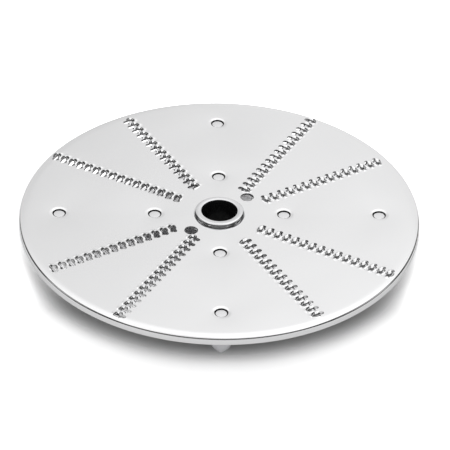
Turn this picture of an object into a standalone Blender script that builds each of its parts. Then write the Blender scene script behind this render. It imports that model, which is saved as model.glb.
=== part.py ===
import math

import bmesh
import bpy
from mathutils import Matrix, Vector

MM = 0.001

# Driving dimensions in millimetres. Heights are above the surface the hub rests on.
disc_diameter = 205.0
sheet = 1.1
flange_depth = 4.3
corner_radius = 1.0
disc_sides = 64

hub_depth = 19.0
hub_top_radius = 17.0
hub_draft = 0.7
hub_sides = 32
collar_height = 2.1
collar_foot_radius = 12.9
collar_top_radius = 11.7
collar_lip = 0.6
bore_radius = 9.25
bush_wall = 1.85
drive_slot_width = 6.4
drive_slot_depth = 6.5

arm_end_margin = 6.7
arm_end_round = 2.4
arm_depth = 15.2
arm_waist_depth = 10.5
arm_top_width = 10.8
arm_waist_width = 10.0
arm_foot_width = 3.6

inner_rivet_circle = 33.1
outer_rivet_margin = 20.5
countersink_radius = 3.4
rivet_recess = 0.55
rivet_grip = 6.0
rivet_sides = 10

lift_hole_radius = 3.5
lift_hole_circle = 20.5

tooth_pitch = 4.88
tooth_height = 2.85
tooth_wall = 0.45
tooth_foot_half = 1.85
tooth_lip = -0.2
tooth_tail = -4.6
tooth_crest_run = 1.5
tooth_back_run = 3.1
mouth_front = 2.5
hollow_tail = -5.1
tooth_rim_margin = 3.9
# Direction in degrees and first tooth radius of the two kinds of row, which repeat every quarter turn.
early_row_direction = 30.0
early_row_start = 27.4
late_row_direction = 60.0
late_row_start = 25.1

# Clearances between pieces that touch, and how far a cutter runs past what it cuts.
seat_gap = 0.1
cut_past = 1.0
spigot_gap = 0.15
rivet_gap = 0.06

disc_radius = disc_diameter / 2
hub_foot_radius = hub_top_radius - hub_draft
arm_reach = disc_radius - arm_end_margin
rivet_circles = {"inner": inner_rivet_circle, "outer": disc_radius - outer_rivet_margin}
plate_top = hub_depth
plate_under = plate_top - sheet
bush_seat_radius = bore_radius + bush_wall + seat_gap
collar_top = plate_top + collar_height
shank_radius = countersink_radius - sheet


def clear_scene():
    for old in list(bpy.data.objects):
        bpy.data.objects.remove(old, do_unlink=True)


def add_material(name, colour, metallic, roughness):
    material = bpy.data.materials.new(name)
    material.use_nodes = True
    shader = material.node_tree.nodes["Principled BSDF"]
    shader.inputs["Base Color"].default_value = (*colour, 1.0)
    shader.inputs["Metallic"].default_value = metallic
    shader.inputs["Roughness"].default_value = roughness
    return material


def add_object(name, shape, material=None):
    bmesh.ops.recalc_face_normals(shape, faces=shape.faces)
    mesh = bpy.data.meshes.new(name)
    shape.to_mesh(mesh)
    shape.free()
    made = bpy.data.objects.new(name, mesh)
    bpy.context.collection.objects.link(made)
    if material:
        mesh.materials.append(material)
    else:
        made.hide_render = True
        made.display_type = "WIRE"
    return made


def combine(target, tool, operation):
    modifier = target.modifiers.new(tool.name, "BOOLEAN")
    modifier.operation = operation
    modifier.solver = "EXACT"
    modifier.use_self = False
    modifier.object = tool
    bpy.context.view_layer.objects.active = target
    bpy.ops.object.modifier_apply(modifier=modifier.name)
    bpy.data.objects.remove(tool, do_unlink=True)


# Turns a closed outline of (radius, height) points about the upright axis at (x, y).
def lathe(shape, outline, sides, x=0.0, y=0.0):
    points = [shape.verts.new((x * MM + r * MM, y * MM, z * MM)) for r, z in outline]
    edges = [shape.edges.new((a, b)) for a, b in zip(points, points[1:] + points[:1])]
    bmesh.ops.spin(
        shape,
        geom=points + edges,
        cent=(x * MM, y * MM, 0.0),
        axis=(0.0, 0.0, 1.0),
        angle=math.tau,
        steps=sides,
        use_merge=True,
    )


# An upright cylinder or cone frustum between two heights.
def frustum(shape, low, high, low_radius, high_radius, sides, x=0.0, y=0.0):
    place = Matrix.Translation(Vector((x, y, (low + high) / 2)) * MM)
    return bmesh.ops.create_cone(
        shape,
        cap_ends=True,
        segments=sides,
        radius1=low_radius * MM,
        radius2=high_radius * MM,
        depth=(high - low) * MM,
        matrix=place,
    )["verts"]


# Skins closed sections one after another. A section of one point is a sharp end.
def loft(shape, sections, place):
    rings = [[shape.verts.new(place @ (Vector(p) * MM)) for p in s] for s in sections]
    for near, far in zip(rings, rings[1:]):
        for i, corner in enumerate(near):
            following = near[(i + 1) % len(near)]
            if len(far) == 1:
                shape.faces.new((corner, following, far[0]))
            else:
                shape.faces.new((corner, following, far[(i + 1) % len(far)], far[i]))
    for ring in (rings[0], rings[-1]):
        if len(ring) > 2:
            shape.faces.new(ring)


def turned(degrees, radius=0.0):
    return Matrix.Rotation(math.radians(degrees), 4, "Z") @ Matrix.Translation(
        (radius * MM, 0.0, 0.0)
    )


# One section across a tooth: two feet, two shoulders and the crown.
def arch(along, foot_half, foot, shoulder_half, shoulder, crown):
    return (
        (-foot_half, along, foot),
        (-shoulder_half, along, shoulder),
        (0.0, along, crown),
        (shoulder_half, along, shoulder),
        (foot_half, along, foot),
    )


def hood_arch(along, foot_half, height):
    return arch(
        along,
        foot_half,
        plate_top - sheet / 2,
        foot_half * 0.78,
        plate_top + height * 0.68,
        plate_top + height,
    )


def hollow_arch(along, inset):
    foot_half = tooth_foot_half - tooth_wall * 0.8 - inset
    shoulder_half = tooth_foot_half * 0.78 - tooth_wall * 0.8 - inset
    return arch(
        along,
        foot_half,
        plate_under - 0.5,
        shoulder_half,
        plate_top + tooth_height * 0.68 - tooth_wall * 0.8,
        plate_top + tooth_height - tooth_wall * 1.35,
    )


# The hood of a tooth stands on the sheet, with its mouth towards +Y of the tooth.
def add_hood(shape, place):
    crest = tooth_lip - tooth_crest_run
    rear = tooth_lip - tooth_back_run
    loft(
        shape,
        (
            hood_arch(tooth_lip, tooth_foot_half, tooth_height),
            hood_arch(crest, tooth_foot_half * 0.98, tooth_height * 0.95),
            hood_arch(rear, tooth_foot_half * 0.8, tooth_height * 0.58),
            ((0.0, tooth_tail, plate_top),),
        ),
        place,
    )


# The hollow under the hood runs out through the sheet, in front of the lip.
def add_hollow(shape, place):
    loft(
        shape,
        (
            hollow_arch(mouth_front, 0.62),
            hollow_arch(tooth_lip, 0.0),
            ((0.0, hollow_tail, plate_under - 0.5),),
        ),
        place,
    )


def tooth_places():
    last = disc_radius - tooth_rim_margin
    rows = ((early_row_direction, early_row_start), (late_row_direction, late_row_start))
    for quarter in range(4):
        for direction, first in rows:
            for k in range(int((last - first) / tooth_pitch) + 1):
                yield turned(direction + 90.0 * quarter, first + k * tooth_pitch)


def rivet_places():
    for circle, radius in rivet_circles.items():
        for quarter in range(4):
            centre = turned(90.0 * quarter, radius).translation / MM
            yield f"rivet_{circle}_{quarter + 1}", centre.x, centre.y


# A disc blank with a rounded edge, hollowed from below to leave the sheet and its flange.
def make_plate(material):
    blank = bmesh.new()
    frustum(blank, plate_top - flange_depth, plate_top, disc_radius, disc_radius, disc_sides)
    rim = [e for e in blank.edges if all(v.co.z > plate_under * MM for v in e.verts)]
    bmesh.ops.bevel(
        blank,
        geom=rim,
        offset=corner_radius * MM,
        segments=2,
        profile=0.5,
        affect="EDGES",
    )
    plate = add_object("grating_plate", blank, material)

    pocket = bmesh.new()
    inside = disc_radius - sheet
    frustum(pocket, plate_top - flange_depth - cut_past, plate_under, inside, inside, disc_sides)
    combine(plate, add_object("flange_pocket", pocket), "DIFFERENCE")

    hoods = bmesh.new()
    hollows = bmesh.new()
    for place in tooth_places():
        add_hood(hoods, place)
        add_hollow(hollows, place)
    combine(plate, add_object("hoods", hoods), "UNION")
    combine(plate, add_object("hollows", hollows), "DIFFERENCE")

    holes = bmesh.new()
    eye = collar_foot_radius + spigot_gap
    low, high = plate_under - cut_past, plate_top + cut_past
    frustum(holes, low, high, eye, eye, hub_sides)
    for direction in (45.0, 225.0):
        centre = turned(direction, lift_hole_circle).translation / MM
        size = lift_hole_radius
        frustum(holes, low, high, size, size, 14, centre.x, centre.y)
    narrow, wide = shank_radius - cut_past, countersink_radius + cut_past
    for _, x, y in rivet_places():
        frustum(holes, low, high, narrow, wide, rivet_sides, x, y)
    combine(plate, add_object("plate_holes", holes), "DIFFERENCE")
    return plate


# The section of an arm, near upright down to its waist and rounded below it.
def arm_section(along, spread, lift):
    top = plate_under - seat_gap
    waist = plate_top - arm_waist_depth
    foot = plate_top - arm_depth + lift
    half_top = arm_top_width / 2 * spread
    half_waist = arm_waist_width / 2 * spread
    half_foot = arm_foot_width / 2 * spread
    middle = (half_waist + half_foot) / 2 + 0.1 * half_waist
    low = foot + (waist - foot) * 0.36
    right = (
        (along, half_top, top),
        (along, half_waist, waist),
        (along, middle, low),
        (along, half_foot, foot),
    )
    left = [(x, -y, z) for x, y, z in reversed(right)]
    return (*right, *left)


def make_drive_slot():
    slot = bmesh.new()
    reach = (hub_top_radius + cut_past) * 2
    middle = (drive_slot_depth - cut_past) / 2
    place = turned(135.0) @ Matrix.Translation((0.0, 0.0, middle * MM))
    size = (reach * MM, drive_slot_width * MM, (drive_slot_depth + cut_past) * MM)
    bmesh.ops.create_cube(slot, size=1.0, matrix=place @ Matrix.Diagonal((*size, 1.0)))
    return add_object("drive_slot", slot)


# Cast hub with its collar through the sheet, and four arms that carry the sheet.
def make_spider(material):
    hub = bmesh.new()
    lip_under = collar_top - collar_lip
    outline = (
        (bush_seat_radius, 0.0),
        (hub_foot_radius - 0.8, 0.0),
        (hub_foot_radius, 0.8),
        (hub_top_radius, plate_under - seat_gap),
        (collar_foot_radius, plate_under - seat_gap),
        (collar_foot_radius, plate_top + 0.2),
        (collar_top_radius + 0.45, plate_top + collar_height * 0.65),
        (collar_top_radius, collar_top),
        (bore_radius, collar_top),
        (bore_radius, lip_under),
        (bush_seat_radius, lip_under),
    )
    lathe(hub, outline, hub_sides)
    spider = add_object("hub_spider", hub, material)

    arms = bmesh.new()
    start = (bush_seat_radius + hub_foot_radius) / 2
    for quarter in range(4):
        sections = (
            arm_section(start, 1.0, 0.0),
            arm_section(arm_reach - arm_end_round, 1.0, 0.0),
            arm_section(arm_reach - arm_end_round * 0.35, 0.87, 0.4),
            arm_section(arm_reach, 0.55, 1.6),
        )
        loft(arms, sections, turned(90.0 * quarter))
    combine(spider, add_object("arms", arms), "UNION")

    holes = bmesh.new()
    for _, x, y in rivet_places():
        wide = shank_radius + rivet_gap
        low = plate_under - rivet_grip - seat_gap
        frustum(holes, low, plate_under + cut_past, wide, wide, rivet_sides, x, y)
    combine(spider, add_object("rivet_holes", holes), "DIFFERENCE")
    combine(spider, make_drive_slot(), "DIFFERENCE")
    return spider


def make_bush(material):
    shape = bmesh.new()
    outer = bore_radius + bush_wall
    top = collar_top - collar_lip - seat_gap
    foot = 0.4
    outline = (
        (bore_radius + 0.8, foot),
        (outer, foot),
        (outer, top),
        (bore_radius, top),
        (bore_radius, foot + 0.8),
    )
    lathe(shape, outline, hub_sides)
    bush = add_object("hub_bush", shape, material)
    combine(bush, make_drive_slot(), "DIFFERENCE")
    return bush


# Countersunk rivets, set a little below the face of the sheet.
def make_rivets(material):
    for name, x, y in rivet_places():
        shape = bmesh.new()
        face = plate_top - rivet_recess
        under = plate_under
        shank = shank_radius - rivet_gap
        outline = (
            (x, y, plate_under - rivet_grip, shank),
            (x, y, under, shank),
            (x, y, face, countersink_radius - rivet_recess - rivet_gap),
        )
        rings = []
        for cx, cy, height, radius in outline:
            turns = [math.tau * (i + 0.5) / rivet_sides for i in range(rivet_sides)]
            rings.append(
                [(cx + radius * math.cos(t), cy + radius * math.sin(t), height) for t in turns]
            )
        loft(shape, rings, Matrix())
        add_object(name, shape, material)


def main():
    clear_scene()
    steel = add_material("stainless_sheet", (0.78, 0.78, 0.79), 1.0, 0.28)
    alloy = add_material("cast_alloy", (0.68, 0.68, 0.70), 1.0, 0.42)
    plastic = add_material("black_plastic", (0.015, 0.015, 0.016), 0.0, 0.25)
    bright = add_material("rivet_steel", (0.74, 0.74, 0.75), 1.0, 0.3)
    make_plate(steel)
    make_spider(alloy)
    make_bush(plastic)
    make_rivets(bright)


main()
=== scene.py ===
import math

import bmesh
import bpy
import numpy as np
from mathutils import Matrix, Vector
from mathutils.geometry import delaunay_2d_cdt


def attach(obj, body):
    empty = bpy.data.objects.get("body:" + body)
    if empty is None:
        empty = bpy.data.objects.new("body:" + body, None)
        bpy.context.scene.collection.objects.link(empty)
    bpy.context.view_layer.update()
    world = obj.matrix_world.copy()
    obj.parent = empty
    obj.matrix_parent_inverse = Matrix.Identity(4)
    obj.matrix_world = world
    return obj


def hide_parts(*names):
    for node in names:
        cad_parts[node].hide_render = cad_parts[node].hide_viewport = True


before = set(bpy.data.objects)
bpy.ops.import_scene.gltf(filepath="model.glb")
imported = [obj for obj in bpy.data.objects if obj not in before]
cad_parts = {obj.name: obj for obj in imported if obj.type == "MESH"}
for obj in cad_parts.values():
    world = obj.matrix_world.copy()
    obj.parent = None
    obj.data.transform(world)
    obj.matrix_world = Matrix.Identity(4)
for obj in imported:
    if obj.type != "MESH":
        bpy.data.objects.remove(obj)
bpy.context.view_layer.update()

mm = 0.001
scene = bpy.context.scene
scene.view_settings.view_transform = "Standard"

# Heights in millimetres above the floor, shared by all pieces.
plateTop = 19.0
sheet = 1.1
plateUnder = plateTop - sheet

# The camera of the photograph: pixels of a 450 px frame, millimetres and degrees.
cameraView = {
    "focalPixels": 3002.3,
    "framePixels": 450.0,
    "axisPixel": (219.35, 213.6),
    "distance": 1538.4,
    "elevation": 36.135,
    "roll": -1.21,
    "patternTurn": 1.392,
    "sensorWidth": 36.0,
    "clipEnd": 50.0,
}


# The camera looks at the middle of the face, from the front and above. The disc stays square to the axes,
# so the small turn of its pattern in the photograph is given to the camera.
def placeCamera(v):
    elevation, roll = math.radians(v["elevation"]), math.radians(v["roll"])
    back = Vector((0.0, -math.cos(elevation), math.sin(elevation)))
    level = Vector((1.0, 0.0, 0.0))
    upright = back.cross(level)
    right = level * math.cos(roll) - upright * math.sin(roll)
    up = level * math.sin(roll) + upright * math.cos(roll)
    turn = Matrix.Rotation(-math.radians(v["patternTurn"]), 4, "Z")
    axes = Matrix((right, up, back)).transposed().to_4x4()
    eye = Matrix.Translation(back * v["distance"] * mm)
    lift = Matrix.Translation((0.0, 0.0, plateTop * mm))
    lens = bpy.data.cameras.new("camera")
    lens.sensor_width = v["sensorWidth"]
    lens.lens = v["focalPixels"] / v["framePixels"] * lens.sensor_width
    lens.shift_x = 0.5 - v["axisPixel"][0] / v["framePixels"]
    lens.shift_y = v["axisPixel"][1] / v["framePixels"] - 0.5
    lens.clip_end = v["clipEnd"]
    camera = bpy.data.objects.new("camera", lens)
    camera.matrix_world = lift @ turn @ eye @ axes
    scene.collection.objects.link(camera)
    scene.camera = camera


placeCamera(cameraView)
print("camera placed")


# Finishes. Grain is noise on Object coordinates, in metres: it drives the roughness and a fine bump.
finishes = {
    "stainlessSheet": {
        "colour": (0.92, 0.92, 0.925),
        "metallic": 1.0,
        "grainScale": 420.0,
        "stretch": (1.0, 1.0, 1.0),
        "roughness": (0.1, 0.16),
        "bumpStrength": 0.05,
        "bumpDepth": 0.00002,
        "waveScale": 16.0,
        "waveDepth": 0.0004,
    },
    "castAlloy": {
        "colour": (0.70, 0.70, 0.72),
        "metallic": 1.0,
        "grainScale": 1500.0,
        "stretch": (1.0, 1.0, 1.0),
        "roughness": (0.32, 0.5),
        "bumpStrength": 0.25,
        "bumpDepth": 0.00008,
    },
    "turnedCollar": {
        "colour": (0.80, 0.80, 0.81),
        "metallic": 1.0,
        "grainScale": 900.0,
        "stretch": (1.0, 1.0, 6.0),
        "roughness": (0.12, 0.2),
        "bumpStrength": 0.05,
        "bumpDepth": 0.00002,
    },
    "blackPlastic": {
        "colour": (0.006, 0.006, 0.0065),
        "metallic": 0.0,
        "grainScale": 700.0,
        "stretch": (1.0, 1.0, 0.3),
        "roughness": (0.14, 0.24),
        "bumpStrength": 0.05,
        "bumpDepth": 0.00002,
    },
    "rivetSteel": {
        "colour": (0.84, 0.84, 0.85),
        # the colour of the painted shade in the groove round a fixing
        "paintedShadeColour": (0.05, 0.05, 0.05),
        "metallic": 1.0,
        "grainScale": 1200.0,
        "stretch": (1.0, 1.0, 1.0),
        "roughness": (0.24, 0.36),
        "bumpStrength": 0.15,
        "bumpDepth": 0.00004,
    },
}
grainDetail = 4.0
grainRange = (0.3, 0.7)


def addGrain(nodes, links, shader, finish):
    place = nodes.new("ShaderNodeTexCoord")
    mapping = nodes.new("ShaderNodeMapping")
    mapping.inputs["Scale"].default_value = finish["stretch"]
    noise = nodes.new("ShaderNodeTexNoise")
    noise.inputs["Scale"].default_value = finish["grainScale"]
    noise.inputs["Detail"].default_value = grainDetail
    spread = nodes.new("ShaderNodeMapRange")
    spread.inputs["From Min"].default_value = grainRange[0]
    spread.inputs["From Max"].default_value = grainRange[1]
    spread.inputs["To Min"].default_value = finish["roughness"][0]
    spread.inputs["To Max"].default_value = finish["roughness"][1]
    bump = nodes.new("ShaderNodeBump")
    bump.inputs["Strength"].default_value = finish["bumpStrength"]
    bump.inputs["Distance"].default_value = finish["bumpDepth"]
    links.new(place.outputs["Object"], mapping.inputs["Vector"])
    links.new(mapping.outputs["Vector"], noise.inputs["Vector"])
    links.new(noise.outputs["Fac"], spread.inputs["Value"])
    links.new(spread.outputs["Result"], shader.inputs["Roughness"])
    links.new(noise.outputs["Fac"], bump.inputs["Height"])
    links.new(bump.outputs["Normal"], shader.inputs["Normal"])


def makeFinish(name):
    finish = finishes[name]
    material = bpy.data.materials.new(name)
    material.use_nodes = True
    shader = material.node_tree.nodes["Principled BSDF"]
    shader.inputs["Base Color"].default_value = (*finish["colour"], 1.0)
    shader.inputs["Metallic"].default_value = finish["metallic"]
    addGrain(material.node_tree.nodes, material.node_tree.links, shader, finish)
    return material


# The pressed sheet isn't quite flat, so a second, wide bump under the grain bends its reflections.
def makeSteel():
    material = makeFinish("stainlessSheet")
    finish = finishes["stainlessSheet"]
    nodes, links = material.node_tree.nodes, material.node_tree.links
    grainBump = nodes["Bump"]
    waves = nodes.new("ShaderNodeTexNoise")
    waves.inputs["Scale"].default_value = finish["waveScale"]
    waves.inputs["Detail"].default_value = 1.0
    dents = nodes.new("ShaderNodeBump")
    dents.inputs["Strength"].default_value = 1.0
    dents.inputs["Distance"].default_value = finish["waveDepth"]
    place = nodes.new("ShaderNodeTexCoord")
    links.new(place.outputs["Object"], waves.inputs["Vector"])
    links.new(waves.outputs["Fac"], dents.inputs["Height"])
    links.new(dents.outputs["Normal"], grainBump.inputs["Normal"])
    return material


# The groove round a fixing is painted dark, a painted shade that its points give in a point attribute.
# A Mix node for colours takes them at sockets 6 and 7 and gives its result at output 2.
def makeRivetSteel():
    material = makeFinish("rivetSteel")
    finish = finishes["rivetSteel"]
    nodes, links = material.node_tree.nodes, material.node_tree.links
    paintedGrooveShade = nodes.new("ShaderNodeAttribute")
    paintedGrooveShade.attribute_name = "paintedGrooveShade"
    tone = nodes.new("ShaderNodeMix")
    tone.data_type = "RGBA"
    tone.inputs[6].default_value = (*finish["colour"], 1.0)
    tone.inputs[7].default_value = (*finish["paintedShadeColour"], 1.0)
    links.new(paintedGrooveShade.outputs["Fac"], tone.inputs[0])
    links.new(tone.outputs[2], nodes["Principled BSDF"].inputs["Base Color"])
    return material


steel = makeSteel()
alloy = makeFinish("castAlloy")
turnedAlloy = makeFinish("turnedCollar")
plastic = makeFinish("blackPlastic")
rivetSteel = makeRivetSteel()
print("materials made")


# Mesh helpers. Points are in millimetres until they go into a mesh.
# Quads of a grid whose points run along the columns first.
def gridFaces(rows, columns, start=0, closed=False):
    wide = columns if closed else columns - 1
    r, c = np.meshgrid(np.arange(rows - 1), np.arange(wide), indexing="ij")
    n = (c + 1) % columns
    here, above = r * columns, (r + 1) * columns
    quads = np.stack((here + c, here + n, above + n, above + c), -1)
    return quads.reshape(-1, 4) + start


# Quads between two rings of the same number of points.
def loopQuads(near, far):
    return np.stack((near, np.roll(near, -1), np.roll(far, -1), far), -1)


# A turn about Z: x' = x cos a - y sin a, y' = x sin a + y cos a.
def turnAbout(points, degrees):
    a = math.radians(degrees)
    turn = np.array(((math.cos(a), math.sin(a)), (-math.sin(a), math.cos(a))))
    return np.concatenate((points[:, :2] @ turn, points[:, 2:]), 1)


def spot(degrees, radius):
    return radius * math.cos(math.radians(degrees)), radius * math.sin(math.radians(degrees))


# Points of a circle: x = cx + r cos a, y = cy + r sin a, z = 0.
def circle(radius, steps, centre=(0.0, 0.0)):
    a = np.linspace(0.0, 2 * math.pi, steps, endpoint=False)
    return np.stack((centre[0] + radius * np.cos(a), centre[1] + radius * np.sin(a), 0 * a), -1)


# Each (radius, height) of a closed profile is carried round the axis: x = cx + r cos a, y = cy + r sin a.
def revolve(profile, steps, centre=(0.0, 0.0)):
    r, z = np.asarray(profile, float).T
    a = np.linspace(0.0, 2 * math.pi, steps, endpoint=False)
    x = centre[0] + r[:, None] * np.cos(a)
    y = centre[1] + r[:, None] * np.sin(a)
    points = np.stack((x, y, np.broadcast_to(z[:, None], x.shape)), -1).reshape(-1, 3)
    faces = gridFaces(len(r), steps, closed=True)
    first = np.arange(steps)
    last = (len(r) - 1) * steps + first
    join = np.stack((last, np.roll(last, -1), np.roll(first, -1), first), -1)
    return points, np.concatenate((faces, join))


def addPiece(name, points, faces, material, sharpAngle):
    mesh = bpy.data.meshes.new(name)
    mesh.from_pydata((np.asarray(points, float) * mm).tolist(), [], [list(map(int, f)) for f in faces])
    mesh.update()
    mesh.shade_smooth()
    mesh.set_sharp_from_angle(angle=math.radians(sharpAngle))
    mesh.materials.append(material)
    piece = bpy.data.objects.new(name, mesh)
    scene.collection.objects.link(piece)
    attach(piece, "root")
    return piece


def closeOutwards(piece):
    shape = bmesh.new()
    shape.from_mesh(piece.data)
    loose = [e for e in shape.edges if not e.is_manifold]
    bmesh.ops.recalc_face_normals(shape, faces=shape.faces)
    shape.to_mesh(piece.data)
    shape.free()
    print(piece.name, len(piece.data.polygons), "faces,", len(loose), "open edges")


# The toothed sheet. The inside corner of the flange is (inwards, down) from the flange's inner wall,
# and the throat of a rivet seat is (radius, depth).
plate = {
    "radius": 102.5,
    "flangeDepth": 4.3,
    "flangeEdge": 0.2,
    "cornerRadius": 1.3,
    "insideCorner": ((0.0, 0.4), (0.1, 0.12)),
    "underRim": 0.45,
    "rollWidth": 3.6,
    "rollDrop": 0.3,
    "rollRings": (0.7, 1.5, 2.4, 3.6),
    "rollClearance": 0.3,
    "rimSteps": 288,
    "eyeRadius": 13.05,
    "eyeSteps": 128,
    "liftHoleRadius": 3.5,
    "liftHoleCircle": 20.5,
    "liftHoleDirections": (45.0, 225.0),
    "holeSteps": 48,
    "rivetCircles": {"inner": 33.1, "outer": 82.0},
    "seatRadius": 5.4,
    "seatMouth": 3.5,
    "seatDrop": 0.24,
    "seatPower": 1.8,
    "seatThroat": ((3.45, 0.3), (3.43, 0.9)),
}

# One tooth, with its row along X and its mouth towards +Y. Each row is (degrees, first tooth, teeth).
tooth = {
    "pitch": 4.88,
    "height": 2.2,
    "footHalf": 1.85,
    "footHeight": 0.22,
    "footFade": 4.0,
    "footSpread": 0.5,
    "wall": 0.55,
    "crownWall": 1.1,
    "thinnest": 0.08,
    "hollowRise": 0.2,
    "lip": 0.1,
    "lipGap": 0.06,
    "lean": 0.6,
    "tail": -4.1,
    "tailHalf": 0.15,
    "tailGap": 0.25,
    "tailGlow": 0.17,
    "mouthFront": 2.8,
    "mouthHalf": 1.2,
    "mouthSide": 0.9,
    "crownPower": 2.8,
    "widestAt": 0.7,
    "acrossSteps": 12,
    "alongSteps": 11,
    "stripBack": -5.4,
    "stripFront": 3.4,
    "stripEnd": 0.25,
    "guardGap": 0.15,
    "backHalf": 0.8,
    "glowHalf": 0.5,
    "glowSide": 0.7,
    "frontHalf": 1.6,
    "frontSide": 1.9,
    "rows": ((30.0, 27.25, 15), (60.0, 25.15, 16)),
}


# A row of hoods as one grid. Across a hood x = w sin s and z = f + (h - f) cos s, with s from -90 to 90
# degrees and f the height of the rounded foot. Along it h = H (1 - (1 - t)^crownPower) and w is a quarter
# ellipse, with t from 0 at the tail to 1 at the lip, and y falls back by lean * t * cos s, so that the crown
# leans back. In front of the lip the hole runs straight, and ends in a half circle of radius m. The hollow
# is the same grid, set in by the wall. Rows of points: back, guard, glow, hood, mouth's front and front.
def toothStrip(t, first, count, under):
    along = np.linspace(0.0, 1.0, t["alongSteps"])
    s = np.linspace(-math.pi / 2, math.pi / 2, t["acrossSteps"] + 1)
    sine, cosine = np.sin(s)[None], np.abs(np.cos(s))[None]
    ones = np.ones_like(sine)
    flat = -sheet if under else 0.0
    glow = 0.0 if under else t["tailGlow"]
    swell = np.sqrt(1 - (1 - np.clip(along / t["widestAt"], 0, 1)) ** 2)
    half = t["tailHalf"] + (t["footHalf"] - t["tailHalf"]) * swell
    inner = np.clip(half - t["wall"], t["thinnest"], None) if under else half
    foot = t["footHeight"] * np.clip((1 - along) * t["footFade"], 0, 1)
    crown = np.maximum(t["height"] * (1 - (1 - along) ** t["crownPower"]), foot)
    if under:
        hollow = np.clip(crown - t["wall"] * t["crownWall"] + sheet, 0.0, None)
        crown = hollow * np.clip(along / t["hollowRise"], 0, 1)
        foot = 0 * foot
    m = t["mouthHalf"]
    straight = t["mouthFront"] - t["lip"] - m
    run = (straight + m * math.pi / 2) * (1 - np.abs(s) / (math.pi / 2))
    bend = np.clip(run - straight, 0, None) / m
    mouthX = m * np.cos(bend) * np.sign(s)
    mouthY = t["lip"] + t["lipGap"] + np.minimum(run, straight) + m * np.sin(bend)
    back, wide = t["backHalf"] * sine, t["frontHalf"] * sine
    hoodY = (t["tail"] + (t["lip"] - t["tail"]) * along)[:, None] - t["lean"] * along[:, None] * cosine
    raised = foot[:, None] + (crown - foot)[:, None] * cosine
    guard = t["stripBack"] + t["guardGap"]
    x = np.concatenate((back, back, t["glowHalf"] * sine, inner[:, None] * sine, mouthX[None], wide))
    y = np.concatenate((t["stripBack"] * ones, guard * ones, (t["tail"] - t["tailGap"]) * ones, hoodY,
                        mouthY[None], t["stripFront"] * ones))
    z = flat + np.concatenate((0 * ones, 0 * ones, glow * ones, raised, 0 * ones, 0 * ones))
    side = np.concatenate(((t["backHalf"], t["backHalf"], t["glowSide"]), half, (m, t["frontSide"])))
    side = side[:, None] + t["footSpread"]
    sideY = np.concatenate((y[:-2, :1], [[t["lip"] + t["mouthSide"]]], y[-1:, :1]))
    edge = np.full_like(side, -t["pitch"] / 2)
    level = flat + 0 * edge
    cellX = np.concatenate((edge, -side, x, side), 1)
    cellY = np.concatenate((sideY, sideY, y, sideY), 1)
    cellZ = np.concatenate((level, level, z, level), 1)
    centres = first + t["pitch"] * np.arange(count)
    gridX = (centres[None, :, None] + cellX[:, None, :]).reshape(len(cellX), -1)
    gridX = np.concatenate((gridX, centres[-1] + side + t["stripEnd"]), 1)
    gridX[:, 0] = (centres[0] - side - t["stripEnd"])[:, 0]
    gridY = np.concatenate((np.tile(cellY, (1, count)), sideY), 1)
    gridZ = np.concatenate((np.tile(cellZ, (1, count)), level), 1)
    return np.stack((gridX, gridY, gridZ), -1)


# The strip's quads, less those across each mouth, and the ring of points round each mouth.
# A cell has three columns beside the hood's own, and the lip is the hood's last row.
def stripFaces(t, count, columns, start):
    cell = t["acrossSteps"] + 4
    lipRow = t["alongSteps"] + 2
    quads = gridFaces(lipRow + 3, columns).reshape(lipRow + 2, columns - 1, 4)
    inCell = np.arange(columns - 1) % cell
    keep = np.ones(quads.shape[:2], bool)
    keep[lipRow] = (inCell < 2) | (inCell > t["acrossSteps"] + 1)
    hood = 2 + np.arange(t["acrossSteps"] + 1)
    ring = np.concatenate((lipRow * columns + hood, (lipRow + 1) * columns + hood[::-1]))
    rings = ring[None] + cell * np.arange(count)[:, None]
    return quads[keep] + start, rings + start


def stripOutline(rows, columns, start):
    index = np.arange(rows * columns).reshape(rows, columns)
    return np.concatenate((index[0], index[1:, -1], index[-1, -2::-1], index[-2:0:-1, 0])) + start


# The face falls away to the rim as a parabola: z = -drop * (distance into the roll / its width)^2.
def rollOff(p, points):
    into = (np.hypot(points[:, 0], points[:, 1]) - p["radius"] + p["cornerRadius"]) / p["rollWidth"] + 1
    points[:, 2] -= p["rollDrop"] * np.clip(into, 0, 1) ** 2


# A point is inside where a ray from it towards +X crosses all the loops an odd number of times.
def insideLoops(points, loops):
    starts = np.concatenate(loops)[:, :2]
    ends = np.concatenate([np.roll(loop, -1, 0) for loop in loops])[:, :2]
    rise = ends[:, 1] - starts[:, 1]
    slope = (ends[:, 0] - starts[:, 0]) / np.where(rise == 0, 1, rise)
    crossings = np.zeros(len(points), int)
    for part in np.array_split(np.arange(len(points)), 12):
        px, py = points[part, :1], points[part, 1:2]
        spans = (starts[:, 1] > py) != (ends[:, 1] > py)
        crossings[part] = (spans & (px < starts[:, 0] + (py - starts[:, 1]) * slope)).sum(1)
    return crossings % 2 == 1


# The rim and the round holes, each as (kind, radius, steps, centre).
def plateCircles(p):
    middle = (0.0, 0.0)
    circles = [("rim", p["radius"] - p["cornerRadius"], p["rimSteps"], middle)]
    circles += [("hole", p["eyeRadius"], p["eyeSteps"], middle)]
    for direction in p["liftHoleDirections"]:
        circles += [("hole", p["liftHoleRadius"], p["holeSteps"], spot(direction, p["liftHoleCircle"]))]
    for distance in p["rivetCircles"].values():
        circles += [("seat", p["seatRadius"], p["holeSteps"], spot(90.0 * q, distance)) for q in range(4)]
    return circles


# The corner is a quarter arc: r = R - c + c sin v, z = -drop - c + c cos v. The flange hangs from it.
def rimProfile(p):
    c = p["cornerRadius"]
    wide, thin = p["radius"], p["radius"] - sheet
    foot, edge = -p["flangeDepth"], p["flangeEdge"]
    corner = [(wide - c + c * math.sin(v), -p["rollDrop"] - c + c * math.cos(v))
              for v in np.radians(np.linspace(10, 90, 9))]
    flange = [(wide, foot + edge), (wide - edge, foot), (thin + edge, foot), (thin, foot + edge)]
    return corner + flange + [(thin - inwards, -sheet - down) for inwards, down in p["insideCorner"]]


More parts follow.
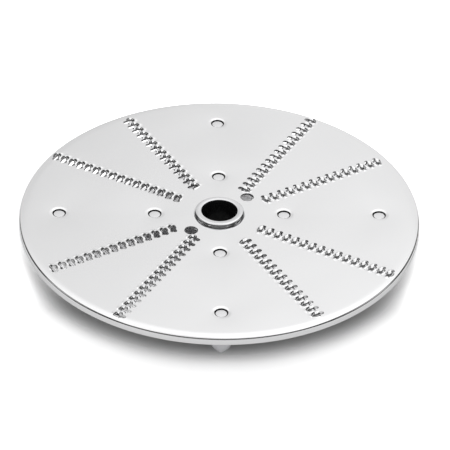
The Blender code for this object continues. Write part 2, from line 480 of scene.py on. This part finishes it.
# The seat is dished: r = R - (R - mouth) v, z = -drop * v^power, and then it drops into its throat.
def seatProfile(p):
    reach = p["seatRadius"] - p["seatMouth"]
    dish = [(p["seatRadius"] - reach * v, -p["seatDrop"] * v ** p["seatPower"])
            for v in np.linspace(0, 1, 7)[1:]]
    return dish + [(radius, -depth) for radius, depth in p["seatThroat"]]


# Extra points in the roll let it bend. Those too near a row of teeth are left out.
def rollPoints(p, loops):
    rim = p["radius"] - p["cornerRadius"]
    rings = np.concatenate([circle(rim - inwards, p["rimSteps"]) for inwards in p["rollRings"]])
    gap = p["rollClearance"]
    offsets = ((gap, 0, 0), (-gap, 0, 0), (0, gap, 0), (0, -gap, 0))
    return rings[np.all([insideLoops(rings + offset, loops) for offset in offsets], 0)]


# A flat triangulation of what lies between the outlines. The free points lie on none of them.
def fillBetween(top, outlines, free, loops):
    ids = np.concatenate((*outlines, free))
    offsets = np.cumsum([0] + [len(o) for o in outlines])
    edges = [(a + i, a + (i + 1) % (b - a)) for a, b in zip(offsets, offsets[1:]) for i in range(b - a)]
    found = delaunay_2d_cdt([Vector(v) for v in top[ids][:, :2]], edges, [], 0, 1e-6)
    original = np.array([o[0] for o in found[3]])
    triangles = ids[original[np.array(found[2])]]
    return triangles[insideLoops(top[triangles].mean(1), loops)]


# The face and the underside have the same faces: the tooth strips and the flat triangles between them.
# Rings of points then carry the walls of the holes, the dished rivet seats and the flange.
def makePlate(p, t):
    upper, lower, faces, mouths, outlines, used = [], [], [], [], [], 0
    for quarter in range(4):
        for direction, first, count in t["rows"]:
            for into, under in ((upper, False), (lower, True)):
                grid = toothStrip(t, first, count, under)
                into.append(turnAbout(grid.reshape(-1, 3), direction + 90.0 * quarter))
            rows, columns = grid.shape[:2]
            quads, rings = stripFaces(t, count, columns, used)
            faces.append(quads)
            mouths.append(rings)
            outlines.append(stripOutline(rows, columns, used))
            used += rows * columns
    stripPoints = used
    circles = plateCircles(p)
    for kind, radius, steps, centre in circles:
        upper.append(circle(radius, steps, centre))
        outlines.append(used + np.arange(steps))
        used += steps
    loops = [np.concatenate(upper)[o] for o in outlines]
    upper.append(rollPoints(p, loops))
    top = np.concatenate(upper)
    n = len(top)
    faces.append(fillBetween(top, outlines, np.arange(used, n), loops))
    rollOff(p, top)
    bottom = top.copy()
    bottom[:, 2] -= sheet
    bottom[:stripPoints] = np.concatenate(lower)
    rollOff(p, bottom[:stripPoints])
    profiles = {"rim": rimProfile(p), "hole": [], "seat": seatProfile(p)}
    undersides = {"rim": p["radius"] - sheet - p["underRim"], "seat": p["seatMouth"]}
    extra, walls, used = [], [], 2 * n
    for (kind, radius, steps, centre), ring in zip(circles, outlines[-len(circles):]):
        if kind in undersides:
            bottom[ring] = circle(undersides[kind], steps, centre) + (0, 0, -sheet)
        last = ring
        for r, z in profiles[kind]:
            extra.append(circle(r, steps, centre) + (0, 0, z))
            following = used + np.arange(steps)
            used += steps
            walls.append(loopQuads(last, following))
            last = following
        walls.append(loopQuads(last, ring + n))
    walls += [loopQuads(ring, ring + n) for rings in mouths for ring in rings]
    points = np.concatenate((top, bottom, *extra))
    points[:, 2] += plateTop
    polygons = [face for block in faces for face in block]
    polygons += [face[::-1] + n for block in faces for face in block]
    polygons += [face for block in walls for face in block]
    piece = addPiece("gratingPlate", points, polygons, steel, 40.0)
    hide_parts("grating_plate")
    closeOutwards(piece)


makePlate(plate, tooth)
print("toothed sheet made")


# The cast hub with its collar, and the four arms below the sheet.
hub = {
    "footRadius": 16.3,
    "topRadius": 17.0,
    "footRound": 0.8,
    "edge": 0.3,
    "collarHeight": 2.1,
    "collarFoot": 12.9,
    "collarTop": 11.7,
    "collarInset": 1.2,
    "collarRise": 1.7,
    "bore": 9.25,
    "lip": 0.6,
    "bushSeat": 11.2,
    "steps": 128,
    "slotWidth": 6.4,
    "slotDepth": 6.5,
    "slotDirection": 135.0,
    "slotPast": 3.0,
    "slotBelow": 2.0,
}
arm = {
    "start": 13.8,
    "reach": 95.8,
    "endRound": 2.4,
    "endSteps": 12,
    "straightSteps": 3,
    "depth": 15.2,
    "waistDepth": 10.5,
    "topWidth": 10.8,
    "waistWidth": 10.0,
    "sideSteps": 10,
    "footLift": 1.4,
    "nosePower": 1.6,
    "noseBlunt": 0.75,
    "noseTip": 0.25,
}
seatGap = 0.1


# The collar's side is an arc: r = foot - inset (1 - cos v), z = rise sin v. The other small steps in the
# profile break its corners.
def hubProfile(h):
    top = plateTop + h["collarHeight"]
    lipUnder = top - h["lip"]
    seat = plateUnder - seatGap
    edge = h["edge"]
    side = [(h["collarFoot"] - h["collarInset"] * (1 - math.cos(v)),
             plateTop + edge + h["collarRise"] * math.sin(v)) for v in np.radians(np.linspace(0, 80, 8))]
    return [(h["bushSeat"] + edge, 0.0), (h["footRadius"] - h["footRound"], 0.0),
            (h["footRadius"] - 0.25, 0.22), (h["footRadius"], h["footRound"]),
            (h["topRadius"], seat - edge), (h["topRadius"] - edge, seat),
            (h["collarFoot"], seat), (h["collarFoot"], plateTop - 0.2), *side,
            (h["collarTop"] - 0.15, top - 0.02), (h["collarTop"] - 0.4, top), (h["bore"] + 0.45, top),
            (h["bore"] + 0.12, top - 0.1), (h["bore"], top - edge), (h["bore"], lipUnder),
            (h["bushSeat"], lipUnder), (h["bushSeat"], edge)]


# An arm is a row of sections along u. Down from the sheet its half width falls evenly to the waist.
# Below it, w = waist * (1 - v^nosePower)^noseBlunt with v from 0 to 1. The last stretch of u follows a
# quarter ellipse that narrows the section and lifts its foot.
def armPoints(a):
    angle = np.radians(np.linspace(0, 88, a["endSteps"]))
    straightEnd = a["reach"] - a["endRound"]
    u = np.concatenate((np.linspace(a["start"], straightEnd, a["straightSteps"] + 1)[:-1],
                        a["reach"] - a["endRound"] * (1 - np.sin(angle))))
    taper = np.concatenate((np.ones(a["straightSteps"]), np.cos(angle)))[:, None]
    spread = taper ** 0.6
    v = 1 - np.cos(np.linspace(0, math.pi / 2, a["sideSteps"])) ** 1.3
    seat, waist = plateUnder - seatGap, plateTop - a["waistDepth"]
    foot = plateTop - a["depth"] + a["footLift"] * (1 - taper)
    nose = a["waistWidth"] / 2 * (1 - v ** a["nosePower"]) ** a["noseBlunt"]
    nose[-1] = a["noseTip"]
    right = np.concatenate((a["topWidth"] / 2 * spread, spread * nose[None]), 1)
    drop = np.concatenate((seat + 0 * spread, waist + (foot - waist) * v[None]), 1)
    y = np.concatenate((right, -right[:, ::-1]), 1)
    z = np.concatenate((drop, drop[:, ::-1]), 1)
    x = np.broadcast_to(u[:, None], y.shape)
    rows, columns = y.shape
    faces = [list(f) for f in gridFaces(rows, columns, closed=True)]
    faces += [list(range(columns)), list(range((rows - 1) * columns, rows * columns))]
    return np.stack((x, y, z), -1).reshape(-1, 3), faces


# A box through the foot of the hub, cut out and applied.
def cutSlot(piece, h):
    reach = h["topRadius"] + h["slotPast"]
    heights = (-h["slotBelow"], h["slotDepth"])
    corners = np.array([(x, y, z) for z in heights for y in (-1, 1) for x in (-1, 1)], float)
    corners *= (reach, h["slotWidth"] / 2, 1.0)
    box = bpy.data.meshes.new("slotTool")
    quads = ((0, 1, 3, 2), (4, 6, 7, 5), (0, 4, 5, 1), (2, 3, 7, 6), (0, 2, 6, 4), (1, 5, 7, 3))
    box.from_pydata((turnAbout(corners, h["slotDirection"]) * mm).tolist(), [], quads)
    tool = bpy.data.objects.new("slotTool", box)
    scene.collection.objects.link(tool)
    cut = piece.modifiers.new("slot", "BOOLEAN")
    cut.operation, cut.solver, cut.object = "DIFFERENCE", "EXACT", tool
    bpy.context.view_layer.update()
    result = bpy.data.meshes.new_from_object(piece.evaluated_get(bpy.context.evaluated_depsgraph_get()))
    piece.modifiers.clear()
    piece.data = result
    bpy.data.objects.remove(tool)


def makeHub(h, a):
    points, faces = revolve(hubProfile(h), h["steps"])
    body = addPiece("hubBody", points, faces, turnedAlloy, 40.0)
    closeOutwards(body)
    cutSlot(body, h)
    armShape, armFaces = armPoints(a)
    allPoints, allFaces = [], []
    for quarter in range(4):
        allPoints.append(turnAbout(armShape, 90.0 * quarter))
        allFaces += [[i + quarter * len(armShape) for i in f] for f in armFaces]
    arms = addPiece("hubArms", np.concatenate(allPoints), allFaces, alloy, 50.0)
    closeOutwards(arms)
    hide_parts("hub_spider")


makeHub(hub, arm)
print("hub and arms made")

# The groove is a shallow ring round the inside of the bore, from one height to the other.
bush = {
    "outer": 11.1,
    "foot": 0.4,
    "leadIn": 0.8,
    "edge": 0.2,
    "clearance": 0.1,
    "groove": (7.3, 9.2),
    "grooveDepth": 0.25,
    "grooveSlope": 0.3,
    "steps": 128,
}


def makeBush(b, h):
    top = plateTop + h["collarHeight"] - h["lip"] - b["clearance"]
    inner, outer, foot = h["bore"], b["outer"], b["foot"]
    low, high = b["groove"]
    deep, slope = inner + b["grooveDepth"], b["grooveSlope"]
    profile = [(inner + b["leadIn"], foot), (outer - b["edge"], foot), (outer, foot + b["edge"]),
               (outer, top), (inner + 0.1, top), (inner, top - 0.1), (inner, high),
               (deep, high - slope), (deep, low + slope), (inner, low), (inner, foot + b["leadIn"])]
    points, faces = revolve(profile, b["steps"])
    piece = addPiece("hubBush", points, faces, plastic, 30.0)
    closeOutwards(piece)
    cutSlot(piece, h)
    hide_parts("hub_bush")


makeBush(bush, hub)
print("bush made")

rivet = {
    "face": 2.85,
    "recess": 0.74,
    "shank": 2.2,
    "shankEdge": 0.3,
    "length": 6.0,
    "axisGap": 0.02,
    "steps": 40,
    "seat": 3.4,
    "seatDepth": 0.38,
}


# Each point of the profile is (radius, height, painted shade), and the painted shade goes into a point
# attribute.
def rivetProfile(r):
    face, seat, shank = r["face"], r["seat"], r["shank"]
    faceHeight = plateTop - r["recess"]
    seatHeight = plateTop - r["seatDepth"]
    foot = plateUnder - r["length"]
    under, groove = plateUnder - 0.05, plateUnder + 0.05
    return [(r["axisGap"], foot, 0.0),
            (shank - r["shankEdge"], foot, 0.0),
            (shank, foot + r["shankEdge"], 0.0),
            (shank, under, 0.0),
            (seat, under, 0.0),
            (seat, seatHeight, 1.0),
            (seat - 0.05, seatHeight, 1.0),
            (seat - 0.08, groove, 1.0),
            (face + 0.1, groove, 1.0),
            (face + 0.03, faceHeight - 0.12, 0.7),
            (face - 0.06, faceHeight - 0.02, 0.0),
            (face - 0.3, faceHeight, 0.0),
            (1.2, faceHeight + 0.02, 0.0),
            (r["axisGap"], faceHeight + 0.03, 0.0)]


def makeRivets(r, p):
    profile = np.array(rivetProfile(r))
    paintedShade = np.repeat(profile[:, 2], r["steps"])
    for circleName, radius in p["rivetCircles"].items():
        for quarter in range(4):
            name = f"rivet_{circleName}_{quarter + 1}"
            points, faces = revolve(profile[:, :2], r["steps"], spot(90.0 * quarter, radius))
            piece = addPiece(name + "_head", points, faces, rivetSteel, 35.0)
            # the painted shade of the groove, point by point
            layer = piece.data.attributes.new("paintedGrooveShade", "FLOAT", "POINT")
            layer.data.foreach_set("value", paintedShade)
            closeOutwards(piece)
            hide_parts(name)


makeRivets(rivet, plate)
print("rivets made")


# Floor and room. An entry that ends in Span is where a level starts to change and where it has changed,
# in metres on the floor and along the axes of a direction in the room. The painted shadow's rise and fall
# give both that and the two levels, by the distance from the painted shadow's centre.
studio = {
    "floorSize": 6.0,
    "floorColour": 0.8,
    "shadeCentre": (0.0, 0.02, 0.0),
    # painted shadow round the rim, and painted light beside and under the disc, on the floor as the camera
    # sees it
    "shadeRise": (0.104, 0.121, 0.41, 1.58),
    "shadeFall": (0.118, 0.15, 0.0, -0.36),
    "underEdgeSpan": (0.0845, 0.1025),
    "sideSpan": (-0.06, 0.0),
    "sidePaintedLight": 4.2,
    "behindSpan": (-0.01, 0.06),
    "underPaintedLight": 2.9,
    "behindPaintedLight": 5.0,
    "hubSpan": (0.035, 0.05),
    "hubShade": 0.55,
    "diffuseLevel": 0.9,
    "diffuseLean": -0.1,
    "boxCentre": (0.0, 0.64, 0.77),
    "boxSpan": (0.22, 0.5),
    "innerSpan": (0.53, 0.63),
    "outerSpan": (0.72, 0.8),
    "outerBackSpan": (0.22, 0.3),
    "plateLevel": 0.79,
    "highSpan": (0.63, 0.76),
    "highLevel": 0.29,
    "zenithSpan": (0.93, 0.98),
    "zenithLevel": -0.22,
    "fillSpan": (-0.6, -0.66),
    "frontFill": 0.09,
    "rightSpan": (-0.08, 0.08),
    "rightLevel": 0.07,
    "frontSpan": (0.555, 0.625),
    "frontLevel": 0.05,
    "roomLevel": 0.035,
}


def addNode(nodes, kind, **values):
    node = nodes.new("ShaderNode" + kind)
    for name, value in values.items():
        setattr(node, name, value)
    return node


# Goes smoothly from one level to another while the source crosses a span.
def ramp(nodes, links, source, fromMin, fromMax, toMin, toMax):
    spread = addNode(nodes, "MapRange", interpolation_type="SMOOTHSTEP")
    spread.inputs["From Min"].default_value = fromMin
    spread.inputs["From Max"].default_value = fromMax
    spread.inputs["To Min"].default_value = toMin
    spread.inputs["To Max"].default_value = toMax
    links.new(source, spread.inputs["Value"])
    return spread.outputs["Result"]


def blendMath(nodes, links, operation, first, second):
    step = addNode(nodes, "Math", operation=operation)
    for socket, source in zip(step.inputs, (first, second)):
        if isinstance(source, float):
            socket.default_value = source
        else:
            links.new(source, socket)
    return step.outputs[0]


# The floor has a plain colour for light that bounces. What the camera sees is painted by the distance from
# the disc and by the depth along Y: a painted shadow round the rim, kept narrow, painted light beside and
# under the disc, more of it behind, and painted shade round the hub. A Mix node takes its two values at
# sockets 2 and 3.
def makeFloor(s):
    half = s["floorSize"] / 2
    mesh = bpy.data.meshes.new("floor")
    corners = [(-half, -half, 0), (half, -half, 0), (half, half, 0), (-half, half, 0)]
    mesh.from_pydata(corners, [], [(0, 1, 2, 3)])
    floor = bpy.data.objects.new("floor", mesh)
    scene.collection.objects.link(floor)
    material = bpy.data.materials.new("floorPaintedShadowAndLight")
    material.use_nodes = True
    nodes, links = material.node_tree.nodes, material.node_tree.links
    nodes.clear()
    matte = nodes.new("ShaderNodeBsdfDiffuse")
    path = nodes.new("ShaderNodeLightPath")
    place = nodes.new("ShaderNodeTexCoord")
    axes = nodes.new("ShaderNodeSeparateXYZ")
    links.new(place.outputs["Object"], axes.inputs[0])
    distance = addNode(nodes, "VectorMath", operation="DISTANCE")
    distance.inputs[1].default_value = s["shadeCentre"]
    links.new(place.outputs["Object"], distance.inputs[0])
    away, depth = distance.outputs["Value"], axes.outputs["Y"]
    # the painted shadow round the rim, narrow and fading outwards
    rise = ramp(nodes, links, away, *s["shadeRise"])
    fall = ramp(nodes, links, away, *s["shadeFall"])
    outside = blendMath(nodes, links, "ADD", rise, fall)
    sides = ramp(nodes, links, depth, *s["sideSpan"], 1.0, s["sidePaintedLight"])
    outside = blendMath(nodes, links, "MULTIPLY", outside, sides)
    # painted light on the floor under the disc, more behind it, with painted shade round the hub
    under = ramp(nodes, links, depth, *s["behindSpan"], s["underPaintedLight"], s["behindPaintedLight"])
    hubShade = ramp(nodes, links, away, *s["hubSpan"], s["hubShade"], 1.0)
    under = blendMath(nodes, links, "MULTIPLY", under, hubShade)
    edge = ramp(nodes, links, away, *s["underEdgeSpan"], 0.0, 1.0)
    gain = nodes.new("ShaderNodeMix")
    links.new(edge, gain.inputs[0])
    links.new(under, gain.inputs[2])
    links.new(outside, gain.inputs[3])
    choose = nodes.new("ShaderNodeMix")
    choose.inputs[2].default_value = s["floorColour"]
    links.new(path.outputs["Is Camera Ray"], choose.inputs[0])
    links.new(gain.outputs[0], choose.inputs[3])
    out = nodes.new("ShaderNodeOutputMaterial")
    links.new(choose.outputs[0], matte.inputs["Color"])
    links.new(matte.outputs[0], out.inputs["Surface"])
    mesh.materials.append(material)


# What polished steel sees: one large softbox behind and above the disc, brighter towards its top, with a dark
# strip on each side of it, and a dark room round it. Matte things are lit evenly, a little more from the
# front, and the camera sees white.
def makeSky(s):
    world = bpy.data.worlds.new("studioRoom")
    scene.world = world
    world.use_nodes = True
    nodes, links = world.node_tree.nodes, world.node_tree.links
    nodes.clear()
    place = nodes.new("ShaderNodeTexCoord")
    axes = nodes.new("ShaderNodeSeparateXYZ")
    links.new(place.outputs["Generated"], axes.inputs[0])
    box = addNode(nodes, "VectorMath", operation="DOT_PRODUCT")
    box.inputs[1].default_value = s["boxCentre"]
    links.new(place.outputs["Generated"], box.inputs[0])
    across, depth, height = axes.outputs["X"], axes.outputs["Y"], axes.outputs["Z"]
    lit = ramp(nodes, links, box.outputs["Value"], *s["boxSpan"], 0.0, 1.0)
    aside = addNode(nodes, "Math", operation="ABSOLUTE")
    links.new(across, aside.inputs[0])
    inner = ramp(nodes, links, aside.outputs[0], *s["innerSpan"], 1.0, 0.0)
    outer = ramp(nodes, links, aside.outputs[0], *s["outerSpan"], 0.0, 1.0)
    outerBack = ramp(nodes, links, depth, *s["outerBackSpan"], 1.0, 0.0)
    outer = blendMath(nodes, links, "MULTIPLY", outer, outerBack)
    panels = blendMath(nodes, links, "MAXIMUM", inner, outer)
    lit = blendMath(nodes, links, "MULTIPLY", lit, panels)
    total = ramp(nodes, links, height, *s["highSpan"], 0.0, s["highLevel"])
    zenith = ramp(nodes, links, height, *s["zenithSpan"], 0.0, s["zenithLevel"])
    fill = ramp(nodes, links, depth, *s["fillSpan"], 0.0, s["frontFill"])
    right = ramp(nodes, links, across, *s["rightSpan"], -s["rightLevel"], s["rightLevel"])
    front = ramp(nodes, links, height, *s["frontSpan"], -s["frontLevel"], s["frontLevel"])
    for level in (right, front, zenith, s["plateLevel"]):
        total = blendMath(nodes, links, "ADD", total, level)
    total = blendMath(nodes, links, "MULTIPLY", total, lit)
    for level in (fill, s["roomLevel"]):
        total = blendMath(nodes, links, "ADD", total, level)
    even = blendMath(nodes, links, "MULTIPLY", depth, s["diffuseLevel"] * s["diffuseLean"])
    even = blendMath(nodes, links, "ADD", even, s["diffuseLevel"])
    path = nodes.new("ShaderNodeLightPath")
    choose = nodes.new("ShaderNodeMix")
    seen = nodes.new("ShaderNodeMix")
    seen.inputs[3].default_value = 1.0
    back = nodes.new("ShaderNodeBackground")
    back.inputs["Color"].default_value = (1.0, 1.0, 1.0, 1.0)
    out = nodes.new("ShaderNodeOutputWorld")
    links.new(path.outputs["Is Glossy Ray"], choose.inputs[0])
    links.new(even, choose.inputs[2])
    links.new(total, choose.inputs[3])
    links.new(path.outputs["Is Camera Ray"], seen.inputs[0])
    links.new(choose.outputs[0], seen.inputs[2])
    links.new(seen.outputs[0], back.inputs["Strength"])
    links.new(back.outputs[0], out.inputs["Surface"])


makeFloor(studio)
makeSky(studio)
print("studio made")
